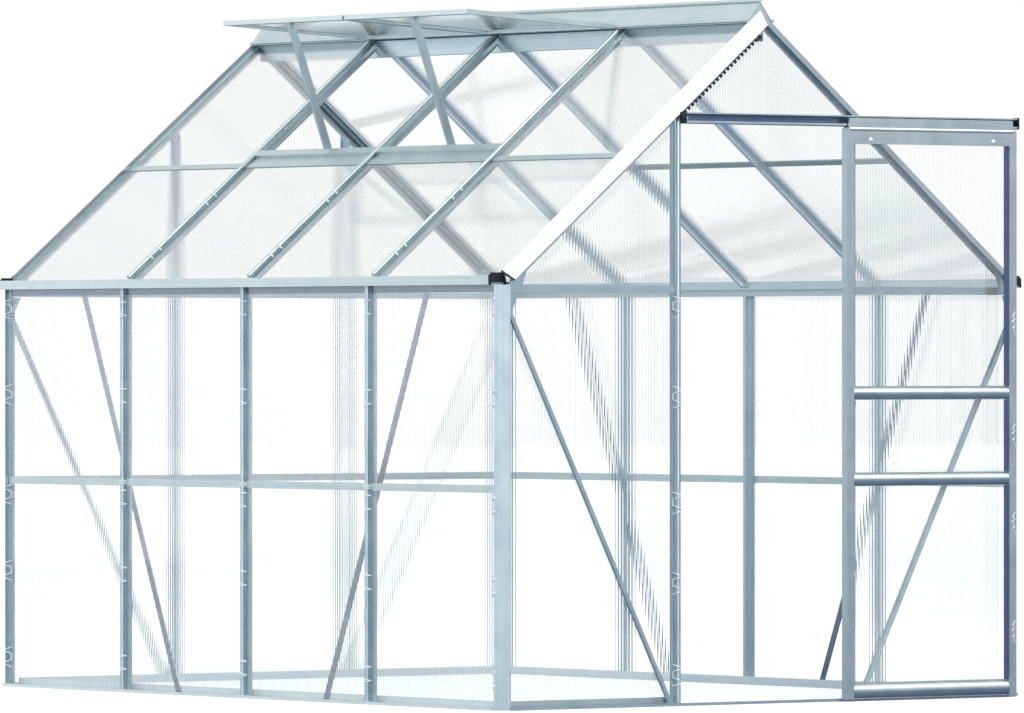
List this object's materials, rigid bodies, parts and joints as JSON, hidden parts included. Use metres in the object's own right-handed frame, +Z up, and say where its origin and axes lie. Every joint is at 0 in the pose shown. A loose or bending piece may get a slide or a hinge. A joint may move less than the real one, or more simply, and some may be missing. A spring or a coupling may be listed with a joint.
{
  "type": "aluminium greenhouse with twin-wall sheets",
  "caption": "Walk-in greenhouse with an aluminium glazing-bar frame, twin-wall plastic sheets, a sliding gable door, eave gutters and propped roof vents.",
  "frame": {"origin": "on the ground under the middle of the building, at the centre of its box", "axes": "+X to the right seen from the door, +Y from the door gable to the rear gable, +Z up"},
  "size_m": [1.97, 2.599, 2.041],
  "materials": {
    "extruded_aluminium": "mill finish",
    "bright_aluminium": "bright mill finish",
    "twin_wall_sheet": "clear extruded twin-wall sheet",
    "black_plastic": "moulded"
  },
  "bodies": {
    "frame": {"base_rail_left": "extruded_aluminium", "base_rail_right": "extruded_aluminium", "base_rail_front": "extruded_aluminium", "base_rail_rear": "extruded_aluminium", "corner_posts_front": "extruded_aluminium", "corner_posts_rear": "extruded_aluminium", "side_bars_left": "extruded_aluminium", "side_bars_right": "extruded_aluminium", "door_posts": "extruded_aluminium", "rear_gable_bars": "extruded_aluminium", "eave_gutter_left": "bright_aluminium", "eave_gutter_right": "bright_aluminium", "gutter_end_caps": "black_plastic", "gable_rails_front": "extruded_aluminium", "gable_rails_rear": "extruded_aluminium", "rafter_front_left": "bright_aluminium", "rafter_front_right": "bright_aluminium", "rafter_rear_left": "bright_aluminium", "rafter_rear_right": "bright_aluminium", "roof_bars_left": "bright_aluminium", "roof_bars_right": "bright_aluminium", "ridge_beam": "extruded_aluminium", "ridge_cap": "bright_aluminium", "joint_strips_sides": "bright_aluminium", "joint_strips_rear": "bright_aluminium", "joint_strips_roof": "bright_aluminium", "vent_sills": "bright_aluminium", "vent_frames": "extruded_aluminium", "vent_sheets": "twin_wall_sheet", "vent_stays": "extruded_aluminium", "side_braces": "extruded_aluminium", "gable_braces": "extruded_aluminium", "corner_gussets": "extruded_aluminium", "side_sheets_left": "twin_wall_sheet", "side_sheets_right": "twin_wall_sheet", "front_gable_sheets": "twin_wall_sheet", "rear_gable_sheets": "twin_wall_sheet", "roof_sheets_left": "twin_wall_sheet", "roof_sheets_right": "twin_wall_sheet", "door_track": "extruded_aluminium", "track_end_caps": "black_plastic"},
    "door": {"door_stiles": "bright_aluminium", "door_head_rail": "bright_aluminium", "door_rails": "bright_aluminium", "door_sheets": "twin_wall_sheet", "door_rollers": "black_plastic"}
  },
  "joints": [
    {"name": "door_slide", "type": "slide", "parent": "frame", "child": "door", "axis": [-1, 0, 0], "range_m": [0, 0.586]}
  ]
}
